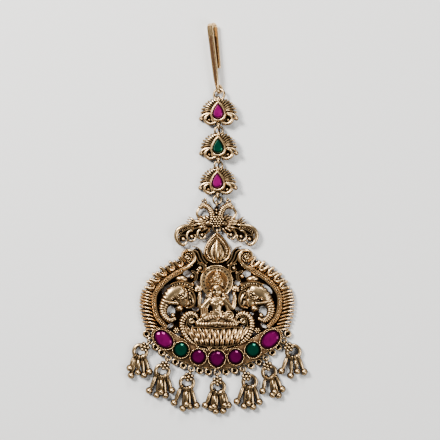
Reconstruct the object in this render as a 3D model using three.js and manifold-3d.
import * as THREE from "three";
import { mergeVertices } from "three/addons/utils/BufferGeometryUtils.js";
import Module from "manifold-3d";

// A head ornament of cast antique-gold metal, lying face up.
// +Y runs from the pendant up to the hair hook and +Z is up from the surface that it lies on.
// Lengths are in millimetres and angles in degrees.

// Pendant outline, from the middle of its back
const pendantHalfWidth = 25.5;
const pendantRise = 17.4;
const pendantDrop = 22.3;

// Pendant thicknesses, up from its back
const webThickness = 1.0;
const fringeThickness = 1.5;
const settingThickness = 2.0;
const bezelRise = 0.7;
const bezelWall = 0.42;
const lowestRelief = 0.25;

// Scroll band that frames the pierced ground
const bandWidth = 1.5;
const bandHeight = 2.5;
const scrollEyeRadius = 0.0373 * pendantHalfWidth;

// Comb of forked teeth round the band
const toothCount = 11;
const toothDepth = 2.3;
const toothFork = 1.3;
const toothTopAngle = 55;

// Loops along the lower rim, which carry the drops
const rimLoopRadius = 1.0;
const rimLoopHole = 0.6;
const rimLoopThickness = 0.7;
const rimLoopStep = 6.35;
const rimLoopsPerSide = 10;

// Stones, and the play round each in its seat
const roundStoneWidth = 4.8;
const centreStoneWidth = 5.2;
const centreStoneLength = 5.5;
const ovalStoneLength = 7.0;
const ovalStoneWidth = 5.0;
const pearStoneLength = 5.0;
const pearStoneWidth = 3.5;
const stoneCrown = 0.75;
const seatPlay = 0.15;
const seatFloorGap = 0.3;

// Ribbed drop at the pendant's head
const headDropWidth = 8.7;
const headDropLength = 9.9;
const headDropHeight = 1.8;
const headDropDome = 1.5;

// Relief figures
const figureSpan = 10;
const figureRelief = 4.2;
const elephantSpan = 10;
const elephantRelief = 3.4;

// Chain: links, eyes and the rings that join them
const chainHeight = 1.75;
const eyeWire = 0.34;
const eyeHole = 0.66;
const joiningRingRadius = 1.3;
const joiningRingWire = 0.36;
const hookRingRadius = 1.75;
const hookRingWire = 0.42;
const linkEyeSpacing = 8.8;
const linkHalfWidth = 6.2;
const linkPlate = 0.9;
const linkRoll = -9;
const birdsEyeSpacing = 6.5;
const birdsHalfWidth = 13.9;
const birdsPlate = 0.8;

// Sideways sway of the chain where it lies
const birdsSway = -0.2;
const linkSways = [0.35, 0.6, 0.6];
const hookSway = 0.75;

// Hair hook: a flat strip bent back on itself
const hookLength = 21.4;
const hookReturn = 14.2;
const hookBendRadius = 1.5;
const hookEyeHole = 0.85;
const hookStripWidth = 2.0;
const hookStripThickness = 0.6;
const hookRoll = -33;
const hookLean = 7;
const hookTilt = 2.5;

// Drops: a ring with a rosette, and ball-ended pins on it
const dropHeight = 1.15;
const dropRingRadius = 2.3;
const dropRingWire = 0.4;
const dropReach = 4.9;
const connectorWire = 0.22;
const connectorHalfHeight = 0.8;
const rosetteRadius = 1.45;
const rosetteThickness = 0.6;
const pinWidth = 0.9;
const pinReach = 7.6;
const pinBallRadius = 1.07;
const pinEyeWall = 0.35;
const sleeveHalfAngle = 42;
const fitPlay = 0.25;

// Faceting
const roundSides = 10;
const wireSides = 5;
const smallDome = 1.35;

const castGold = new THREE.MeshStandardMaterial({
  color: 0xb08a4c, roughness: 0.38, metalness: 1, flatShading: true,
});
const rubyGlass = new THREE.MeshStandardMaterial({
  color: 0xa3125f, roughness: 0.12, metalness: 0, flatShading: true,
});
const emeraldGlass = new THREE.MeshStandardMaterial({
  color: 0x07503c, roughness: 0.12, metalness: 0, flatShading: true,
});

const wasm = await Module();
wasm.setup();
const { Manifold } = wasm;

const radians = THREE.MathUtils.degToRad;
const plane = (x, y) => new THREE.Vector2(x, y);
const space = (x, y, z) => new THREE.Vector3(x, y, z);
const upward = space(0, 0, 1);

// Solids

function solid(geometry) {
  const bare = new THREE.BufferGeometry()
    .setAttribute("position", geometry.getAttribute("position"))
    .setIndex(geometry.index);
  const merged = mergeVertices(bare, 1e-4);
  return new Manifold(new wasm.Mesh({
    numProp: 3,
    vertProperties: merged.attributes.position.array,
    triVerts: new Uint32Array(merged.index.array),
  }));
}

function mesh(name, body, material) {
  const made = body.getMesh();
  const geometry = new THREE.BufferGeometry()
    .setAttribute("position", new THREE.BufferAttribute(made.vertProperties, 3))
    .setIndex(new THREE.BufferAttribute(made.triVerts, 1));
  geometry.computeVertexNormals();
  const built = new THREE.Mesh(geometry, material);
  built.name = name;
  return built;
}

const join = (bodies) => bodies.reduce((whole, body) => whole.add(body));

function slab(outline, bottom, top, holes = []) {
  const shape = new THREE.Shape(outline);
  shape.holes = holes.map((hole) => new THREE.Path(hole));
  const options = { depth: top - bottom, bevelEnabled: false, steps: 1 };
  return solid(new THREE.ExtrudeGeometry(shape, options).translate(0, 0, bottom));
}

// A closed skin through rings of points that each have the same count.
function loft(rings) {
  const count = rings[0].length;
  const positions = rings.flat().flatMap((p) => [p.x, p.y, p.z]);
  const index = [];
  for (let r = 0; r + 1 < rings.length; r += 1) {
    for (let i = 0; i < count; i += 1) {
      const a = r * count + i;
      const b = r * count + ((i + 1) % count);
      index.push(a, b, b + count, a, b + count, a + count);
    }
  }
  const last = (rings.length - 1) * count;
  for (let i = 1; i + 1 < count; i += 1) {
    index.push(0, i + 1, i, last, last + i, last + i + 1);
  }
  const geometry = new THREE.BufferGeometry();
  geometry.setAttribute("position", new THREE.Float32BufferAttribute(positions, 3));
  geometry.setIndex(index);
  return solid(geometry);
}

// A tapered wire along a smooth curve. Each row is [x, y, z, half width].
// The section's height is its width times tall, and it keeps upright along lift.
function wire(rows, { steps = rows.length - 1, sides = wireSides, tall = 1, lift = upward } = {}) {
  const curve = new THREE.CatmullRomCurve3(rows.map(([x, y, z]) => space(x, y, z)));
  const rings = [];
  for (let s = 0; s <= steps; s += 1) {
    const share = s / steps;
    const centre = curve.getPoint(share);
    const ahead = curve.getTangent(share);
    const side = space(0, 0, 0).crossVectors(lift, ahead).normalize();
    const rise = space(0, 0, 0).crossVectors(ahead, side).normalize();
    const row = share * (rows.length - 1);
    const before = Math.min(Math.floor(row), rows.length - 2);
    const half = THREE.MathUtils.lerp(rows[before][3], rows[before + 1][3], row - before);
    rings.push(circle(sides, (cos, sin) => centre.clone()
      .addScaledVector(side, half * cos)
      .addScaledVector(rise, half * tall * sin)));
  }
  return loft(rings);
}

function circle(sides, place) {
  return Array.from({ length: sides }, (_, i) => {
    const angle = (2 * Math.PI * (i + 0.5)) / sides;
    return place(Math.cos(angle), Math.sin(angle));
  });
}

// A smooth mound that rises from its base to a rounded top.
function dome(x, y, base, rx, ry, rise, { turn = 0, sides = 8 } = {}) {
  const level = (share, z) => ellipse(rx * share, ry * share, sides, x, y, turn)
    .map((p) => space(p.x, p.y, base + z * rise));
  if (Math.min(rx, ry) < smallDome) return loft([level(1, 0), level(0.55, 1)]);
  return loft([level(1, 0), level(0.84, 0.58), level(0.36, 1)]);
}

function ball(x, y, z, radius) {
  const sphere = new THREE.SphereGeometry(radius, roundSides, 4).rotateX(Math.PI / 2);
  return solid(sphere.translate(x, y, z));
}

// A flat strip with upright sides. Each row is [x, y, half width] and the line turns smoothly.
function strip(rows, bottom, top) {
  const edge = (side) => rows.map(([x, y, half], i) => {
    const [backX, backY] = rows[Math.max(i - 1, 0)];
    const [nextX, nextY] = rows[Math.min(i + 1, rows.length - 1)];
    const ahead = plane(nextX - backX, nextY - backY).normalize();
    return plane(x - side * half * ahead.y, y + side * half * ahead.x);
  });
  return slab([...edge(-1), ...edge(1).reverse()], bottom, top);
}

const ringSolid = (radius, wireRadius) => solid(
  new THREE.TorusGeometry(radius, wireRadius, wireSides, roundSides),
);

// An eye whose hole runs along X, for a ring that lies flat.
function eye(x, y, z) {
  const torus = new THREE.TorusGeometry(eyeHole + eyeWire, eyeWire, wireSides, roundSides);
  return solid(torus.rotateY(Math.PI / 2).translate(x, y, z));
}

const ellipse = (rx, ry, sides, x = 0, y = 0, turn = 0) => circle(sides, (cos, sin) =>
  plane(rx * cos, ry * sin).rotateAround(plane(0, 0), radians(turn)).add(plane(x, y)));

// A pear outline with its tip at +Y. The sharpness is 0 for an oval and 1 for a straight-sided tip.
function pear(width, length, sides, sharpness = 0.85, turn = 0) {
  const raw = Array.from({ length: sides }, (_, i) => {
    const angle = (2 * Math.PI * i) / sides;
    return plane(-Math.sin(angle) * Math.sin(angle / 2) ** sharpness, Math.cos(angle));
  });
  const widest = Math.max(...raw.map((p) => p.x));
  return raw.map((p) => plane((p.x / widest) * (width / 2), (p.y * length) / 2)
    .rotateAround(plane(0, 0), radians(turn)));
}

const shift = (outline, x, y) => outline.map((p) => plane(p.x + x, p.y + y));
const both = (make) => [1, -1].map((side) => make(side));

// A point of the pendant, in shares of its half width and of its rise or drop.
const onPendant = (side, across, up) => [
  side * across * pendantHalfWidth,
  up * (up > 0 ? pendantRise : pendantDrop),
];

function rimPoint(angle, share = 1) {
  const up = Math.sin(radians(angle));
  const high = up > 0 ? pendantRise : pendantDrop;
  return plane(share * pendantHalfWidth * Math.cos(radians(angle)), share * high * up);
}

// Stones and their settings

// The seven stones of the lower rim. angle is round the pendant and inset a share of its radius.
const rimStones = [
  { name: "oval_ruby_left", angle: 217.6, inset: 0.867, turn: -42, cut: "oval" },
  { name: "emerald_left", angle: 235.7, inset: 0.825, turn: 0, cut: "round" },
  { name: "ruby_left", angle: 253.2, inset: 0.82, turn: 0, cut: "round" },
  { name: "ruby_centre", angle: 270, inset: 0.82, turn: 180, cut: "centre" },
  { name: "ruby_right", angle: 286.8, inset: 0.82, turn: 0, cut: "round" },
  { name: "emerald_right", angle: 304.3, inset: 0.825, turn: 0, cut: "round" },
  { name: "oval_ruby_right", angle: 322.4, inset: 0.867, turn: 42, cut: "oval" },
];

function stoneOutline(cut, grow, turn = 0) {
  const wider = 2 * grow;
  if (cut === "oval") {
    return ellipse(ovalStoneLength / 2 + grow, ovalStoneWidth / 2 + grow, 12, 0, 0, turn);
  }
  if (cut === "pear") return pear(pearStoneWidth + wider, pearStoneLength + wider, 12, 0.85, turn);
  if (cut === "centre") {
    return pear(centreStoneWidth + wider, centreStoneLength + wider, 12, 0.3, turn);
  }
  return ellipse(roundStoneWidth / 2 + grow, roundStoneWidth / 2 + grow, roundSides);
}

// A flat-backed cut stone: a girdle, a belt of crown facets and a table.
function cutStone(cut, turn, bottom, girdle) {
  const girdleLine = stoneOutline(cut, 0, turn);
  const level = (share, z) => girdleLine.map((p) => space(p.x * share, p.y * share, z));
  return loft([level(0.94, bottom), level(1, girdle), level(0.66, girdle + stoneCrown)]);
}

// Pendant

const crescentTop = [
  [0.827, -0.408], [0.773, -0.368], [0.698, -0.368], [0.627, -0.399],
  [0.553, -0.448], [0.475, -0.502], [0.408, -0.547], [0.341, -0.587], [0.235, -0.619],
];

function crescent() {
  const inner = (side) => crescentTop.map((row) => plane(...onPendant(side, ...row)));
  const outer = Array.from({ length: 19 }, (_, i) => rimPoint(209 + 6.78 * i, 0.99));
  const outline = [...outer, ...inner(1), ...inner(-1).reverse()];
  return slab(outline, 0, settingThickness);
}

const rimLoopAt = (index) => rimPoint(-90 + rimLoopStep * index, 1.02);

function rimLoop(index) {
  const centre = rimLoopAt(index);
  const low = dropHeight - rimLoopThickness / 2;
  return {
    wall: slab(ellipse(rimLoopRadius, rimLoopRadius, 8, centre.x, centre.y),
      low, low + rimLoopThickness),
    hole: slab(ellipse(rimLoopHole, rimLoopHole, 5, centre.x, centre.y),
      low - settingThickness, low + 2 * settingThickness),
  };
}

// The smooth centre line of the scroll band, from its eye down to the crescent.
const bandLine = [
  { across: 0.416, up: 0.81, width: 0.3 }, { across: 0.447, up: 0.879, width: 0.32 },
  { across: 0.431, up: 0.96, width: 0.36 }, { across: 0.376, up: 0.994, width: 0.4 },
  { across: 0.318, up: 0.966, width: 0.44 }, { across: 0.29, up: 0.879, width: 0.48 },
  { across: 0.31, up: 0.782, width: 0.5 }, { across: 0.376, up: 0.695, width: 0.5 },
  { across: 0.494, up: 0.598, width: 0.5 }, { across: 0.6, up: 0.506, width: 0.5 },
  { across: 0.694, up: 0.402, width: 0.5 }, { across: 0.761, up: 0.293, width: 0.5 },
  { across: 0.804, up: 0.172, width: 0.5 }, { across: 0.816, up: 0.034, width: 0.48 },
  { across: 0.804, up: -0.09, width: 0.46 }, { across: 0.773, up: -0.202, width: 0.44 },
  { across: 0.718, up: -0.291, width: 0.4 }, { across: 0.65, up: -0.375, width: 0.36 },
];

function band(side) {
  const rows = bandLine.map(({ across, up, width }) => [
    ...onPendant(side, across, up), width * bandWidth,
  ]);
  const [x, y] = onPendant(side, 0.384, 0.865);
  return [
    strip(rows, lowestRelief, bandHeight),
    dome(x, y, lowestRelief, scrollEyeRadius, scrollEyeRadius, bandHeight),
  ];
}

// The outer comb: each tooth is forked at its end.
function comb(side) {
  const angleOf = (index) => toothTopAngle - 9.575 * index + 0.175 * index * index;
  const point = (angle, depth) => {
    const rim = rimPoint(angle);
    const reach = 1 - depth / rim.length();
    return plane(side * rim.x * reach, rim.y * reach);
  };
  const outline = [];
  for (let i = 0; i < toothCount; i += 1) {
    const here = angleOf(i);
    const half = (here - angleOf(i + 1)) / 2;
    outline.push(
      point(here + 0.95 * half, toothDepth), point(here + 0.78 * half, 0),
      point(here + 0.4 * half, 0), point(here, toothFork),
      point(here - 0.4 * half, 0), point(here - 0.78 * half, 0),
    );
  }
  outline.push(point(angleOf(toothCount - 1) - 3.5, toothDepth));
  const inner = bandLine.slice(7).map((row) => plane(...onPendant(side, row.across, row.up)));
  const ring = [...outline, ...inner.reverse()];
  return slab(side > 0 ? ring.reverse() : ring, lowestRelief, fringeThickness);
}

// Openings through the ground, on one side: centre and half sizes in shares of the pendant.
const piercings = [
  { across: 0.173, up: 0.12, long: 0.05, wide: 0.115, turn: 4 },
  { across: 0.64, up: 0.28, long: 0.1, wide: 0.045, turn: -46 },
  { across: 0.592, up: -0.121, long: 0.056, wide: 0.085, turn: 0 },
  { across: 0.388, up: 0.57, long: 0.064, wide: 0.052, turn: -30 },
  { across: 0.271, up: 0.36, long: 0.038, wide: 0.046, turn: 0 },
  { across: 0.286, up: -0.085, long: 0.045, wide: 0.036, turn: 0 },
  { across: 0.61, up: -0.36, long: 0.056, wide: 0.034, turn: 32 },
  { across: 0.485, up: -0.455, long: 0.07, wide: 0.036, turn: 32 },
  { across: 0.22, up: 0.83, long: 0.03, wide: 0.07, turn: 12 },
];

function web() {
  const edge = (side) => [
    [0.06, 0.86], [0.28, 0.9], [0.31, 0.782],
    ...bandLine.slice(7).map((row) => [row.across, row.up]),
    [0.6, -0.46], [0.35, -0.66], [0.1, -0.68],
  ].map((row) => plane(...onPendant(side, ...row)));
  const ground = slab([...edge(1).reverse(), ...edge(-1)], 0, webThickness);
  const cuts = both((side) => piercings.map(({ across, up, long, wide, turn }) => {
    const [x, y] = onPendant(side, across, up);
    const hole = ellipse(long * pendantHalfWidth, wide * pendantDrop, 6, x, y, side * turn);
    return slab(hole, -webThickness, 2 * webThickness);
  })).flat();
  return ground.subtract(join(cuts));
}

const headDropFoot = () => 0.755 * pendantRise;
const pendantEye = () => headDropFoot() + headDropLength + 0.85 * eyeHole;

// The pear at the head: a stepped rim round a ribbed dome, and a leaf on each side.
const headLeafRows = [
  [0.36, 0.14, 0.035], [0.52, 0.3, 0.09], [0.72, 0.52, 0.11], [0.85, 0.56, 0.085], [0.98, 0.48, 0.03],
];

function headDrop() {
  const middle = headDropFoot() + headDropLength / 2;
  const outline = (share, sides) => shift(
    pear(share * headDropWidth, share * headDropLength, sides), 0, middle,
  );
  const heart = plane(0, middle - 0.1 * headDropLength);
  const level = (share, z) => pear(0.56 * headDropWidth, 0.64 * headDropLength, 10)
    .map((p) => space(p.x * share, heart.y + p.y * share, z));
  const rim = slab(outline(1, 14), 0, headDropHeight)
    .subtract(slab(outline(0.8, 12), headDropHeight - 0.5, 2 * headDropHeight));
  const leaf = (side) => strip(headLeafRows.map(([x, y, half]) => [
    side * x * headDropWidth, headDropFoot() + y * headDropLength, half * headDropWidth,
  ]), lowestRelief, 0.9 * headDropHeight);
  return [
    rim,
    loft([level(1, 0.5), level(0.9, headDropHeight), level(0.45, headDropHeight + headDropDome)]),
    ...both(leaf),
  ];
}

// The seated figure. Rows hold shares of figureSpan across and up, and of figureRelief in height.
const figureForms = [
  { part: "crown", x: 0.02, y: 0.8, rx: 0.18, ry: 0.22, top: 0.98 },
  { part: "head", x: 0.01, y: 0.44, rx: 0.2, ry: 0.25, top: 1.12 },
  { part: "chest", x: 0, y: -0.02, rx: 0.31, ry: 0.26, top: 0.92 },
  { part: "lap", x: 0, y: -0.46, rx: 0.46, ry: 0.2, top: 0.95 },
  { part: "palm", x: -0.42, y: -0.38, rx: 0.13, ry: 0.18, top: 0.9 },
  { part: "palm", x: 0.4, y: -0.39, rx: 0.14, ry: 0.14, top: 0.9 },
  { part: "lotus bud", x: -0.56, y: 0.47, rx: 0.13, ry: 0.13, top: 0.75 },
  { part: "lotus bud", x: 0.56, y: 0.47, rx: 0.13, ry: 0.13, top: 0.75 },
];
const figureLimbs = [
  { part: "upper arm", top: 0.7, rows: [[0.24, 0.12], [0.49, -0.2]] },
  { part: "raised forearm", top: 0.65, rows: [[0.49, -0.22], [0.6, 0.08], [0.57, 0.38]] },
  { part: "lower arm", top: 0.85, rows: [[0.25, 0.08], [0.41, -0.34]] },
  { part: "shin", top: 0.8, rows: [[0.64, -0.6], [0.35, -0.7], [-0.05, -0.7]] },
];
const limbHalfWidth = 0.085;
const reliefBase = 0.5 * webThickness;

function figure() {
  const haloLine = (share, sides) => ellipse(
    share * figureSpan, share * figureSpan, sides, 0, 0.73 * figureSpan,
  );
  const halo = slab(haloLine(0.55, 16), 0, 0.5 * figureRelief)
    .subtract(slab(haloLine(0.4, 12), 0.38 * figureRelief, figureRelief));
  const limbs = figureLimbs.flatMap(({ rows, top }) => both((side) => strip(
    rows.map(([x, y]) => [side * x * figureSpan, y * figureSpan, limbHalfWidth * figureSpan]),
    reliefBase, top * figureRelief,
  )));
  const forms = figureForms.map(({ x, y, rx, ry, top }) => dome(
    x * figureSpan, y * figureSpan, reliefBase,
    rx * figureSpan, ry * figureSpan, top * figureRelief - reliefBase,
  ));
  return [halo, ...forms, ...limbs];
}

// The lotus seat: a fan of petals between two ribbed curls.
const petalCount = 7;
const curlRows = [
  [0.7, -0.4, 0.06], [0.82, -0.3, 0.07], [0.95, -0.3, 0.08], [1.07, -0.4, 0.085],
  [1.15, -0.58, 0.09], [1.12, -0.84, 0.095], [0.98, -1.08, 0.095], [0.76, -1.3, 0.09],
];

function lotus() {
  const petals = Array.from({ length: petalCount }, (_, i) => {
    const share = (2 * i) / (petalCount - 1) - 1;
    return dome(
      0.72 * share * figureSpan, (-1.06 + 0.08 * share * share) * figureSpan, reliefBase,
      0.115 * figureSpan, 0.29 * figureSpan, (0.8 - 0.15 * share * share) * figureRelief,
      { turn: -32 * share },
    );
  });
  const base = slab([
    [-0.9, -0.8], [-0.7, -1.2], [-0.4, -1.38], [0.4, -1.38], [0.7, -1.2], [0.9, -0.8],
  ].map(([x, y]) => plane(x * figureSpan, y * figureSpan)), 0, 0.42 * figureRelief);
  const curl = (side) => strip(curlRows.map(([x, y, half]) => [
    side * x * figureSpan, y * figureSpan, half * figureSpan,
  ]), lowestRelief, 0.55 * figureRelief);
  const curlEye = (side) => dome(
    side * 0.86 * figureSpan, -0.57 * figureSpan, reliefBase,
    0.1 * figureSpan, 0.1 * figureSpan, 0.5 * figureRelief,
  );
  return [base, ...petals, ...both(curl), ...both(curlEye)];
}

// One elephant's head with its trunk round a bud. Rows are shares of elephantSpan from the brow.
const trunkRows = [
  [0.24, 0.04, 0.55, 0.17], [0.44, -0.1, 0.52, 0.15], [0.6, -0.32, 0.46, 0.14],
  [0.66, -0.56, 0.42, 0.13], [0.62, -0.8, 0.38, 0.115], [0.46, -0.93, 0.36, 0.1],
  [0.28, -0.9, 0.34, 0.08],
];
const elephantForms = [
  { part: "skull", x: 0, y: -0.06, rx: 0.38, ry: 0.36, top: 0.95 },
  { part: "brow jewel", x: 0, y: 0, rx: 0.17, ry: 0.17, top: 1.15 },
  { part: "headband", x: 0, y: 0.3, rx: 0.37, ry: 0.11, top: 0.95 },
  { part: "cap", x: 0, y: 0.47, rx: 0.3, ry: 0.13, top: 0.75 },
  { part: "ear", x: -0.34, y: -0.32, rx: 0.17, ry: 0.36, top: 0.75, turn: 14 },
  { part: "jaw", x: 0.04, y: -0.5, rx: 0.2, ry: 0.22, top: 0.8 },
  { part: "bud in the trunk", x: 0.24, y: -0.72, rx: 0.09, ry: 0.09, top: 0.7 },
];

function elephant(side) {
  const [browX, browY] = onPendant(side, 0.47, 0.195);
  const forms = elephantForms.map(({ x, y, rx, ry, top, turn = 0 }) => dome(
    browX + side * x * elephantSpan, browY + y * elephantSpan, reliefBase,
    rx * elephantSpan, ry * elephantSpan, top * elephantRelief - reliefBase,
    { turn: side * turn },
  ));
  const trunk = wire(trunkRows.map(([x, y, z, half]) => [
    browX + side * x * elephantSpan, browY + y * elephantSpan, z * elephantRelief,
    half * elephantSpan,
  ]), { steps: 7 });
  return [...forms, trunk];
}

// Small scrolls and buds that fill the ground.
const fillers = [
  { across: 0.215, up: 0.672, radius: 0.9 }, { across: 0.325, up: 0.51, radius: 0.9 },
  { across: 0.52, up: -0.395, radius: 1.15 }, { across: 0.09, up: -0.655, radius: 0.9 },
];

function pendant() {
  const loops = [];
  for (let i = -rimLoopsPerSide; i <= rimLoopsPerSide; i += 1) loops.push(rimLoop(i));
  const stonePlaces = rimStones.map((stone) => ({ ...stone, at: stonePoint(stone) }));
  const bezels = stonePlaces.map(({ cut, turn, at }) => slab(
    shift(stoneOutline(cut, seatPlay + bezelWall, turn), at.x, at.y),
    0, settingThickness + bezelRise,
  ));
  const seats = stonePlaces.map(({ cut, turn, at }) => slab(
    shift(stoneOutline(cut, seatPlay, turn), at.x, at.y),
    seatFloor(), 2 * settingThickness,
  ));
  const buds = fillers.flatMap(({ across, up, radius }) => both((side) => dome(
    ...onPendant(side, across, up), reliefBase, radius, radius, 1.4 * radius,
  )));
  return join([
    web(), crescent(), ...loops.map((loop) => loop.wall), ...bezels,
    ...both(comb), ...both(band).flat(), ...both(elephant).flat(),
    ...figure(), ...lotus(), ...headDrop(), ...buds,
    eye(0, pendantEye(), chainHeight),
  ]).subtract(join([...loops.map((loop) => loop.hole), ...seats]));
}

const seatFloor = () => settingThickness - 1;
const stonePoint = ({ angle, inset }) => rimPoint(angle, inset);

// Chain links: a fan of rays over a pear setting, with a scroll on each side

const fanTips = [
  { across: 0.31, up: 0.43 }, { across: 0.54, up: 0.38 }, { across: 0.7, up: 0.28 },
  { across: 0.82, up: 0.13 }, { across: 0.84, up: -0.04 },
];
const linkScroll = [[0.16, -0.41], [0.42, -0.44], [0.65, -0.34], [0.68, -0.2]];
const linkArm = [[0.55, -0.17], [0.93, -0.25]];
// The neck over the lower eye, in shares of linkPlate.
const linkNeck = [[-0.5, 0.89], [0.5, 0.89], [0.5, 2], [-0.5, 2]];
const linkLow = -0.555 * linkPlate;
const linkSeatFloor = linkLow + linkPlate;
const linkBezelTop = 1.89 * linkPlate;
const linkMiddle = 0.557 * linkEyeSpacing;

function linkBody() {
  const fan = (side) => fanTips.flatMap(({ across, up }, i) => {
    const tip = plane(across * linkHalfWidth, up * linkEyeSpacing);
    const next = fanTips[Math.min(i + 1, fanTips.length - 1)];
    const beyond = plane(next.across * linkHalfWidth, next.up * linkEyeSpacing - 0.01);
    const valley = tip.clone().add(beyond).multiplyScalar(i + 1 < fanTips.length ? 0.37 : 0.3);
    const aside = plane(-tip.y, tip.x).setLength(0.058 * linkHalfWidth);
    return [tip.clone().add(aside), tip.clone().sub(aside), valley]
      .map((p) => plane(side * p.x, linkMiddle + p.y));
  });
  const foot = (side) => [[0.56, -0.22], [0.36, -0.38], [0.07, -0.4]].map(([x, y]) => plane(
    side * x * linkHalfWidth, linkMiddle + y * linkEyeSpacing,
  ));
  const brow = plane(0, linkEyeSpacing - 1.4 * eyeHole);
  const plate = slab(
    [brow, ...fan(-1), ...foot(-1), ...foot(1).reverse(), ...fan(1).reverse()],
    linkLow, linkLow + linkPlate,
  );
  const lines = (side) => [linkScroll, linkArm].map((line) => strip(line.map(([x, y]) => [
    side * x * linkHalfWidth, linkMiddle + y * linkEyeSpacing, 0.08 * linkHalfWidth,
  ]), linkLow, linkLow + 1.4 * linkPlate));
  const [armX, armY] = linkArm[1];
  const bud = (side) => dome(side * armX * linkHalfWidth, linkMiddle + armY * linkEyeSpacing,
    linkLow, 0.13 * linkHalfWidth, 0.13 * linkHalfWidth, 1.9 * linkPlate);
  const setting = (grow, low, high) => slab(
    shift(stoneOutline("pear", grow), 0, linkMiddle), low, high,
  );
  const neck = slab(linkNeck.map(([x, y]) => plane(x * linkPlate, y * linkPlate)),
    linkLow, linkLow + linkPlate);
  return join([
    plate, setting(seatPlay + bezelWall, linkLow, linkBezelTop), neck,
    dome(0, 0.22 * linkPlate, 0.67 * linkPlate, 0.8 * linkPlate, 0.8 * linkPlate, linkPlate),
    ...both(lines).flat(), ...both(bud), eye(0, 0, 0), eye(0, linkEyeSpacing, 0),
  ]).subtract(setting(seatPlay, linkSeatFloor, 2 * linkBezelTop));
}

// The pair of birds, back to back, whose tails curl outwards. Rows are shares of birdsHalfWidth.
const birdStrips = [
  { part: "neck", wide: 0.055, rows: [[0.1, -0.05], [0.09, 0.12], [0.17, 0.27], [0.3, 0.32]] },
  { part: "crest", wide: 0.04, rows: [[0.3, 0.3], [0.29, 0.44]] },
  {
    part: "string from the beak", wide: 0.032,
    rows: [[0.31, 0.3], [0.42, 0.24], [0.48, 0.11], [0.4, -0.04]],
  },
  { part: "raised feather", wide: 0.05, rows: [[0.24, -0.08], [0.4, 0.02]] },
  { part: "long feather", wide: 0.06, rows: [[0.28, -0.11], [0.64, -0.05]] },
  { part: "low feather", wide: 0.05, rows: [[0.24, -0.16], [0.48, -0.24]] },
  { part: "spike", wide: 0.035, rows: [[0.48, -0.12], [0.67, 0.03]] },
  {
    part: "tail", wide: 0.05,
    rows: [[0.54, -0.15], [0.79, -0.21], [0.93, -0.28], [0.98, -0.41], [0.94, -0.53], [0.85, -0.61],
      [0.75, -0.6]],
  },
  {
    part: "middle curl", wide: 0.045,
    rows: [[0.56, -0.2], [0.7, -0.31], [0.73, -0.45], [0.66, -0.56], [0.54, -0.56]],
  },
  {
    part: "inner curl", wide: 0.045,
    rows: [[0.3, -0.18], [0.43, -0.27], [0.46, -0.39], [0.4, -0.49], [0.28, -0.49]],
  },
];
const birdBeads = [
  { part: "head", x: 0.31, y: 0.31, radius: 0.08 }, { part: "beak", x: 0.41, y: 0.27, radius: 0.05 },
  { part: "bead", x: 0.8, y: -0.5, radius: 0.075 }, { part: "bead", x: 0.6, y: -0.44, radius: 0.06 },
  { part: "bead", x: 0.34, y: -0.39, radius: 0.06 },
];
const birdsGround = [
  [0.04, -0.05], [0.2, -0.14], [0.33, -0.36], [0.46, -0.26], [0.6, -0.4], [0.78, -0.46],
  [0.86, -0.27], [0.72, -0.17], [0.5, -0.1], [0.3, -0.02], [0.04, 0.06],
];
const birdsLow = -0.875 * birdsPlate;
// The stem between the two eyes: half width in shares of birdsHalfWidth, ends of birdsEyeSpacing.
const birdsStem = { half: 0.054, from: 0.123, to: 0.877 };

function birdsBody() {
  const middle = 0.3 * birdsEyeSpacing;
  const place = (side, [x, y]) => [side * x * birdsHalfWidth, middle + y * birdsHalfWidth];
  const strips = (side) => birdStrips.map(({ wide, rows }) => strip(
    rows.map((row) => [...place(side, row), wide * birdsHalfWidth]),
    birdsLow, birdsLow + 1.6 * birdsPlate,
  ));
  const beads = (side) => birdBeads.map(({ x, y, radius }) => dome(
    ...place(side, [x, y]), birdsLow, radius * birdsHalfWidth, radius * birdsHalfWidth,
    2.3 * birdsPlate,
  ));
  const ground = (side) => slab(birdsGround.map((row) => plane(...place(side, row))),
    birdsLow, birdsLow + birdsPlate);
  const { half, from, to } = birdsStem;
  const stem = slab([[-half, from], [half, from], [half, to], [-half, to]]
    .map(([x, y]) => plane(x * birdsHalfWidth, y * birdsEyeSpacing)), birdsLow, birdsLow + birdsPlate);
  return join([
    ...both(ground), stem, ...both(strips).flat(), ...both(beads).flat(),
    dome(0, 0.2 * birdsEyeSpacing, 0.69 * birdsPlate, 0.086 * birdsHalfWidth,
      0.17 * birdsEyeSpacing, birdsPlate),
    eye(0, 0, 0), eye(0, birdsEyeSpacing, 0),
  ]);
}

// Hair hook

function hookBody() {
  const curlRadius = hookEyeHole + hookStripThickness / 2;
  const narrow = 0.26 * hookStripWidth;
  const wide = 0.5 * hookStripWidth;
  const curl = [-70, -25, 20, 65, 110, 155, 200].map((angle) => [
    0, -curlRadius * Math.sin(radians(angle)), -curlRadius * Math.cos(radians(angle)), narrow,
  ]);
  const bend = [0, 45, 90, 135, 180].map((angle) => [
    0,
    hookLength + hookBendRadius * (Math.sin(radians(angle)) - 1),
    curlRadius + hookBendRadius * (Math.cos(radians(angle)) - 1),
    wide,
  ]);
  const rows = [
    ...curl,
    [0, 0.3 * hookLength, curlRadius, 0.8 * wide],
    ...bend,
    [0, hookLength - hookReturn, curlRadius - 1.6 * hookBendRadius, 0.8 * wide],
  ];
  const edge = (x, [, y, z, half], outward) => space(
    x * half, y + outward.y * hookStripThickness / 2, z + outward.z * hookStripThickness / 2,
  );
  return loft(rows.map((row, i) => {
    const back = rows[Math.max(i - 1, 0)];
    const next = rows[Math.min(i + 1, rows.length - 1)];
    const outward = space(0, back[2] - next[2], next[1] - back[1]).normalize();
    const inward = outward.clone().negate();
    return [edge(1, row, outward), edge(1, row, inward), edge(-1, row, inward), edge(-1, row, outward)];
  }));
}

// Drops

const connectorTop = connectorHalfHeight + connectorWire;

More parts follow.
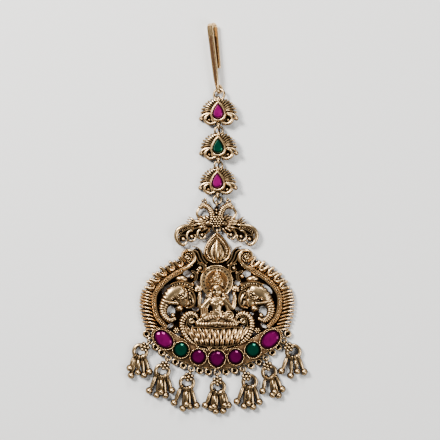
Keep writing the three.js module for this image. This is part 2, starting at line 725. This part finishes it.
function rosettedRing() {
  const low = connectorTop + fitPlay;
  const petals = Array.from({ length: 12 }, (_, i) => {
    const reach = i % 2 ? 0.78 * rosetteRadius : rosetteRadius;
    const angle = radians(30 * i);
    return plane(reach * Math.cos(angle), dropRingRadius + reach * Math.sin(angle));
  });
  const leg = (side) => {
    const x = 0.62 * rosetteRadius * side;
    const y = Math.sqrt(dropRingRadius ** 2 - x ** 2);
    return slab([[-0.3, -0.3], [0.3, -0.3], [0.3, 0.3], [-0.3, 0.3]]
      .map(([dx, dy]) => plane(x + dx, y + dy)), 0, low + 0.2);
  };
  return join([
    ringSolid(dropRingRadius, dropRingWire),
    ...both(leg), slab(petals, low, low + rosetteThickness),
  ]);
}

// An upright ring with straight flanks, from the rim loop's hole to the inside of the drop's ring.
function connector() {
  const far = dropReach - dropRingRadius + dropRingWire + fitPlay + connectorWire;
  const end = (middleY, from) => [0, 45, 90, 135, 180].map((step) => {
    const angle = radians(from - step);
    return { y: middleY, along: Math.sin(angle), rise: Math.cos(angle) };
  });
  const stations = [...end(-connectorHalfHeight, 180), ...end(connectorHalfHeight - far, 0)];
  return closedLoft(stations.map(({ y, along, rise }) => circle(wireSides, (cos, sin) => space(
    connectorWire * sin,
    y + along * (connectorHalfHeight + connectorWire * cos),
    rise * (connectorHalfHeight + connectorWire * cos),
  ))));
}

// A closed ring through sections of points that each have the same count.
function closedLoft(sections) {
  const count = sections[0].length;
  const positions = sections.flat().flatMap((p) => [p.x, p.y, p.z]);
  const index = sections.flatMap((_, s) => {
    const next = (s + 1) % sections.length;
    return Array.from({ length: count }, (__, i) => {
      const j = (i + 1) % count;
      const [a, b, c, d] = [s * count + i, s * count + j, next * count + j, next * count + i];
      return [a, c, b, a, d, c];
    }).flat();
  });
  const geometry = new THREE.BufferGeometry();
  geometry.setAttribute("position", new THREE.Float32BufferAttribute(positions, 3));
  geometry.setIndex(index);
  return solid(geometry);
}

// The pins' shared sleeve: a bent tube round the ring's wire, open at both ends.
function sleeve(halfAngle) {
  const tube = (radius, reach, steps) => loft(Array.from({ length: steps + 1 }, (_, i) => {
    const angle = radians(THREE.MathUtils.lerp(-reach, reach, i / steps));
    return circle(6, (cos, sin) => space(
      (dropRingRadius - radius * cos) * Math.sin(angle),
      (radius * cos - dropRingRadius) * Math.cos(angle),
      radius * sin,
    ));
  }));
  const hole = dropRingWire + fitPlay;
  return tube(hole + pinEyeWall, halfAngle, 3).subtract(tube(hole, halfAngle + 10, 4));
}

// One ball-ended pin on the sleeve. It leaves the ring's centre at an angle from -Y.
function pin(angle, reach) {
  const out = (distance) => [
    distance * Math.sin(radians(angle)), -distance * Math.cos(radians(angle)), 0,
  ];
  const start = dropRingRadius + dropRingWire + fitPlay + 0.3 * pinEyeWall;
  return [
    wire([[...out(start), 0.5 * pinWidth], [...out(reach), 0.7 * pinWidth]], { sides: 4 }),
    ball(...out(reach), pinBallRadius),
  ];
}

// The seven drops: the rim loop that each hangs on, its swing from -Y, and its pins' angles
// from -Y with their reaches in shares of pinReach.
const drops = [
  { loop: -9, swing: -44, pins: [[-32, 0.84], [-21, 1.1], [9, 1.02], [24, 0.96]] },
  { loop: -6, swing: -24, pins: [[-34, 1], [-13, 1.05], [8, 1.04], [27, 0.92]] },
  { loop: -3, swing: -17, pins: [[-33, 1.02], [-9, 1.11], [7, 1.02], [23, 1.06]] },
  { loop: 0, swing: 3, pins: [[-35, 0.94], [-18, 0.92], [-5, 1.03], [13, 1.03], [31, 0.9]] },
  { loop: 3, swing: 27, pins: [[-33, 1], [-13, 1.07], [8, 1.08], [26, 0.96]] },
  { loop: 6, swing: 13, pins: [[-19, 0.86], [9, 0.98], [22, 1.07], [38, 0.92]] },
  { loop: 9, swing: 41, pins: [[-32, 0.96], [-6, 1.02], [29, 0.98]] },
];

function dropGroup({ loop, swing, pins }, number) {
  const group = new THREE.Group();
  const start = rimLoopAt(loop);
  group.position.set(start.x, start.y, dropHeight);
  const link = mesh(`drop_${number}_connector`, connector(), castGold);
  link.rotation.z = radians(swing);
  const ring = mesh(`drop_${number}_ring`, rosettedRing(), castGold);
  ring.rotation.z = radians(swing);
  ring.position.set(dropReach * Math.sin(radians(swing)), -dropReach * Math.cos(radians(swing)), 0);
  const cluster = join([
    sleeve(sleeveHalfAngle), ...pins.flatMap(([angle, reach]) => pin(angle, reach * pinReach)),
  ]);
  const bells = mesh(`drop_${number}_bells`, cluster, castGold);
  bells.position.copy(ring.position);
  group.add(link, ring, bells);
  return group;
}

// Assembly, from the pendant up the chain

const tikka = new THREE.Group();
tikka.add(mesh("pendant", pendant(), castGold));

for (const stone of rimStones) {
  const girdle = settingThickness + bezelRise - 0.35;
  const body = cutStone(stone.cut, stone.turn, seatFloor() + seatFloorGap, girdle);
  const glass = stone.name.startsWith("emerald") ? emeraldGlass : rubyGlass;
  const gem = mesh(stone.name, body, glass);
  const at = stonePoint(stone);
  gem.position.set(at.x, at.y, 0);
  tikka.add(gem);
}

drops.forEach((drop, i) => tikka.add(dropGroup(drop, i + 1)));

function addRing(name, radius, wireRadius, from, to, roll = 0) {
  const ring = mesh(name, ringSolid(radius, wireRadius), castGold);
  ring.position.set((from.x + to.x) / 2, (from.y + to.y) / 2, chainHeight);
  ring.rotation.y = radians(roll);
  tikka.add(ring);
}

const above = (from, sway, radius) => plane(sway, from.y + 2 * radius);

let lastEye = plane(0, pendantEye());
let nextEye = above(lastEye, birdsSway, joiningRingRadius);
addRing("pendant_ring", joiningRingRadius, joiningRingWire, lastEye, nextEye);
const birds = mesh("peacock_pair", birdsBody(), castGold);
birds.position.set(nextEye.x, nextEye.y, chainHeight);
tikka.add(birds);
lastEye = plane(nextEye.x, nextEye.y + birdsEyeSpacing);

linkSways.forEach((sway, i) => {
  const number = linkSways.length - i;
  nextEye = above(lastEye, sway, joiningRingRadius);
  addRing(`link_${number}_ring`, joiningRingRadius, joiningRingWire, lastEye, nextEye);
  const link = new THREE.Group();
  const body = mesh(`link_${number}`, linkBody(), castGold);
  const glass = number === 2 ? emeraldGlass : rubyGlass;
  const gem = mesh(`link_${number}_stone`,
    cutStone("pear", 0, linkSeatFloor + seatFloorGap, linkBezelTop - 0.3), glass);
  gem.position.y = linkMiddle;
  link.add(body, gem);
  link.position.set(nextEye.x, nextEye.y, chainHeight);
  link.rotation.y = radians(linkRoll);
  tikka.add(link);
  lastEye = plane(nextEye.x, nextEye.y + linkEyeSpacing);
});

nextEye = above(lastEye, hookSway, hookRingRadius);
addRing("hook_ring", hookRingRadius, hookRingWire, lastEye, nextEye, 0.5 * hookRoll);
const hook = mesh("hair_hook", hookBody(), castGold);
hook.rotation.set(radians(hookTilt), radians(hookRoll), radians(hookLean), "ZXY");
hook.position.set(nextEye.x, nextEye.y, chainHeight);
tikka.add(hook);

export default tikka;
